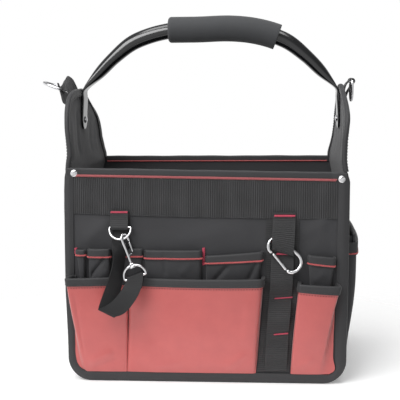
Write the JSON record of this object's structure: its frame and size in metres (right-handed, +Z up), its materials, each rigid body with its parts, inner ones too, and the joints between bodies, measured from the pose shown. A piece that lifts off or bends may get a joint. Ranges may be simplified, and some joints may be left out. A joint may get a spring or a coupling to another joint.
{
  "type": "open tool tote bag",
  "caption": "Open-top tool tote with a bent tube handle, foam grip, red and black outer pockets, webbing tool loops, a carabiner and a strap with a snap hook.",
  "frame": {"origin": "middle of the base's underside, on the surface that the bag stands on", "axes": "+Z up to the handle, +X to the right seen from the front pockets, +Y from the front to the back"},
  "size_m": [0.398, 0.2525, 0.4372],
  "materials": {
    "black_cloth": "coated woven polyester, matt",
    "black_binding": "woven edge binding tape",
    "black_webbing": "ribbed woven webbing",
    "red_cloth": "coated woven polyester, satin",
    "black_steel": "gloss black coated tube",
    "foam_grip": "closed cell foam, matt",
    "bright_metal": "polished plated steel"
  },
  "bodies": {
    "bag": {"front_panel": "black_cloth", "back_panel": "black_cloth", "base_panel": "black_cloth", "side_panel_left": "black_cloth", "side_panel_right": "black_cloth", "front_edge_binding": "black_binding", "back_edge_binding": "black_binding", "front_rim_binding": "black_binding", "back_rim_binding": "black_binding", "tab_binding_left": "black_binding", "tab_binding_right": "black_binding", "front_webbing_band": "black_webbing", "red_pocket_left": "red_cloth", "red_pocket_left_binding": "black_binding", "red_pocket_centre": "red_cloth", "red_pocket_centre_binding": "black_binding", "red_pocket_right": "red_cloth", "red_pocket_right_binding": "black_binding", "mid_pocket_1": "black_cloth", "mid_pocket_1_binding": "black_binding", "mid_pocket_2": "black_cloth", "mid_pocket_2_binding": "black_binding", "mid_pocket_3": "black_cloth", "mid_pocket_3_binding": "black_binding", "mid_pocket_4": "black_cloth", "mid_pocket_4_binding": "black_binding", "mid_pocket_5": "black_cloth", "mid_pocket_5_binding": "black_binding", "mid_pocket_6": "black_cloth", "mid_pocket_6_binding": "black_binding", "side_pocket_tall_left": "black_cloth", "side_pocket_tall_left_binding": "black_binding", "side_pocket_low_left": "black_cloth", "side_pocket_low_left_binding": "black_binding", "side_pocket_tall_right": "black_cloth", "side_pocket_tall_right_binding": "black_binding", "side_pocket_low_right": "black_cloth", "side_pocket_low_right_binding": "black_binding", "daisy_base_strip": "black_webbing", "daisy_webbing": "black_webbing", "carabiner_frame": "bright_metal", "hook_ring_tab": "black_webbing", "hook_d_ring": "bright_metal", "snap_hook": "bright_metal", "swivel_half_ring": "bright_metal", "tape_strap": "black_webbing", "handle_tube": "black_steel", "handle_grip": "foam_grip", "handle_rivet_left": "bright_metal", "handle_rivet_right": "bright_metal", "corner_rivet_left": "bright_metal", "corner_rivet_right": "bright_metal", "strap_loop_left": "black_webbing", "strap_loop_right": "black_webbing"},
    "carabiner_gate": {"carabiner_gate": "bright_metal"},
    "snap_hook_gate": {"snap_hook_gate": "bright_metal"},
    "strap_ring_left": {"strap_ring_left": "bright_metal"},
    "strap_ring_right": {"strap_ring_right": "bright_metal"}
  },
  "joints": [
    {"name": "carabiner_gate_hinge", "type": "hinge", "parent": "bag", "child": "carabiner_gate", "pos_m": [0.0939, -0.11547, 0.1397], "axis": [-0.1169, 0.9655, -0.2328], "range_deg": [0, 8], "stiffness_Nm_per_rad": 0.02},
    {"name": "snap_hook_gate_hinge", "type": "hinge", "parent": "bag", "child": "snap_hook_gate", "pos_m": [-0.08371, -0.11586, 0.15989], "axis": [0.7954, -0.4629, 0.3912], "range_deg": [0, 25], "stiffness_Nm_per_rad": 0.02},
    {"name": "strap_ring_left_hinge", "type": "hinge", "parent": "bag", "child": "strap_ring_left", "pos_m": [-0.188, 0, 0.3474], "axis": [0, 1, 0], "range_deg": [-90, 100]},
    {"name": "strap_ring_right_hinge", "type": "hinge", "parent": "bag", "child": "strap_ring_right", "pos_m": [0.1762, 0, 0.3546], "axis": [0, -1, 0], "range_deg": [0, 150]}
  ]
}
